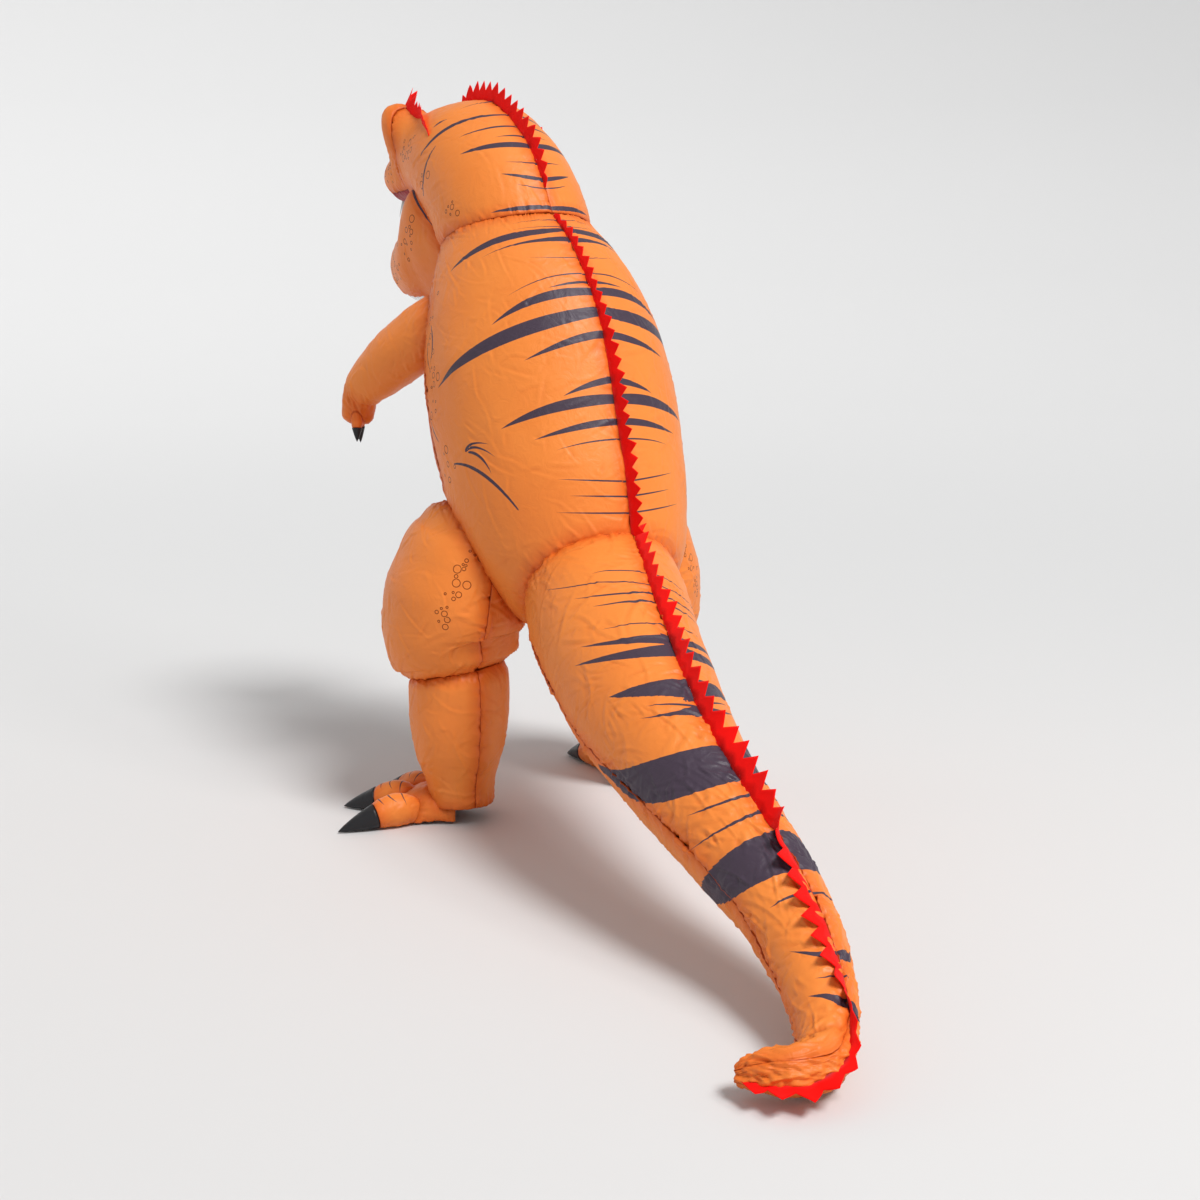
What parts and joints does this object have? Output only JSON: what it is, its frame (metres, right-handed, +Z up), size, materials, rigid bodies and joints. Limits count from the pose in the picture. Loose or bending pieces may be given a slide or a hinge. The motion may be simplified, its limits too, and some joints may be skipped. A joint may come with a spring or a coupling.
{
  "type": "inflatable dinosaur costume",
  "caption": "Inflated walking dinosaur costume in striped orange cloth with hollow body, legs, arms and tail, red felt crests, stuffed claws, open mouth, front zip and fan.",
  "frame": {"origin": "on the body's middle plane between the wearer's shoulders, 1.42 m above the floor, where the costume hangs on its wearer", "axes": "+Z up; -Y the way that it faces, with the tail towards +Y; +X the wearer's left"},
  "size_m": [1.3253, 2.836, 2.1148],
  "materials": {
    "orange": "satin",
    "belly": "satin",
    "red_felt": "matt",
    "mouth": "satin",
    "claw": "satin",
    "tooth": "matt",
    "vinyl": "clear, flexible",
    "zip": "matt",
    "plastic": "moulded"
  },
  "bodies": {
    "costume": {"back_crest": "red_felt", "back_left": "orange", "back_right": "orange", "belly_left": "belly", "belly_right": "belly", "blower_housing": "plastic", "brow_crest_left": "red_felt", "brow_crest_right": "red_felt", "claw_inner_left": "claw", "claw_inner_right": "claw", "claw_middle_left": "claw", "claw_middle_right": "claw", "claw_outer_left": "claw", "claw_outer_right": "claw", "finger_claw_front_left": "claw", "finger_claw_front_right": "claw", "finger_claw_rear_left": "claw", "finger_claw_rear_right": "claw", "finger_front_left": "orange", "finger_front_right": "orange", "finger_rear_left": "orange", "finger_rear_right": "orange", "foot_left": "orange", "foot_right": "orange", "head_crest": "red_felt", "jaw": "orange", "jaw_lining": "mouth", "lower_teeth": "tooth", "muzzle": "orange", "palate": "mouth", "shin_inner_left": "orange", "shin_inner_right": "orange", "shin_outer_left": "orange", "shin_outer_right": "orange", "skull_left": "orange", "skull_right": "orange", "sleeve_left": "orange", "sleeve_right": "orange", "tail_crest": "red_felt", "tail_left": "orange", "tail_right": "orange", "tail_under": "orange", "thigh_inner_left": "orange", "thigh_inner_right": "orange", "thigh_outer_left": "orange", "thigh_outer_right": "orange", "throat_window": "vinyl", "toe_inner_left": "orange", "toe_inner_right": "orange", "toe_middle_left": "orange", "toe_middle_right": "orange", "toe_outer_left": "orange", "toe_outer_right": "orange", "upper_teeth": "tooth", "zip_slider": "plastic", "zip_tape": "zip"},
    "zip_pull": {"zip_pull": "plastic"},
    "blower_rotor": {"blower_rotor": "plastic"}
  },
  "joints": [
    {"name": "zip_pull_hinge", "type": "hinge", "parent": "costume", "child": "zip_pull", "pos_m": [0, -0.39803, -0.02101], "axis": [1, 0, 0], "range_deg": [-150, 0]},
    {"name": "blower_spin", "type": "hinge", "parent": "costume", "child": "blower_rotor", "pos_m": [-0.26381, -0.18339, -0.26383], "axis": [-0.7644, -0.6162, -0.1899], "continuous": true}
  ]
}
